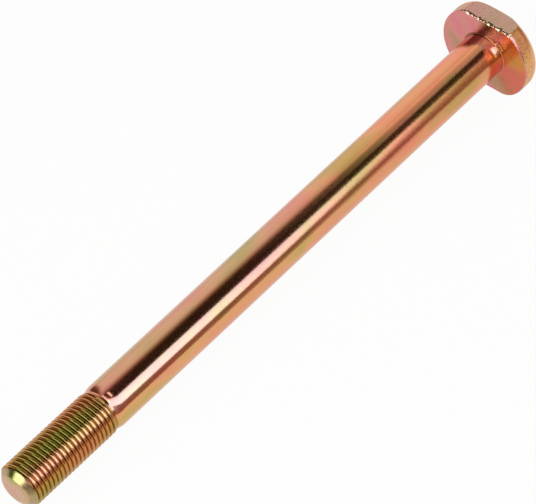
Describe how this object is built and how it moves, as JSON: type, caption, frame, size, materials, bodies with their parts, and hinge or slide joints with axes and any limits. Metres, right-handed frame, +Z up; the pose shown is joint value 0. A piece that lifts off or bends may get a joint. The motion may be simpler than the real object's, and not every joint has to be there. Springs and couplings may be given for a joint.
{
  "type": "tensioning bolt",
  "caption": "Long steel bolt with a flat round head cut by two flats, a plain shank, a short fine thread and a tapered point, yellow zinc plated.",
  "frame": {"origin": "on the surface that the bolt lies on, under the middle of its box", "axes": "+X along the length from the head towards the point, +Z up, the two flats of the head above and below, and the axis dips by 1.66 degrees towards the point because the head's flat is wider than the thread"},
  "size_m": [0.2118, 0.0304, 0.0257],
  "materials": {
    "yellow_zinc_steel": "steel with bright zinc plating, passivated yellow with pink, green and gold tints"
  },
  "bodies": {
    "root": {"tensioning_bolt": "yellow_zinc_steel"}
  },
  "joints": []
}
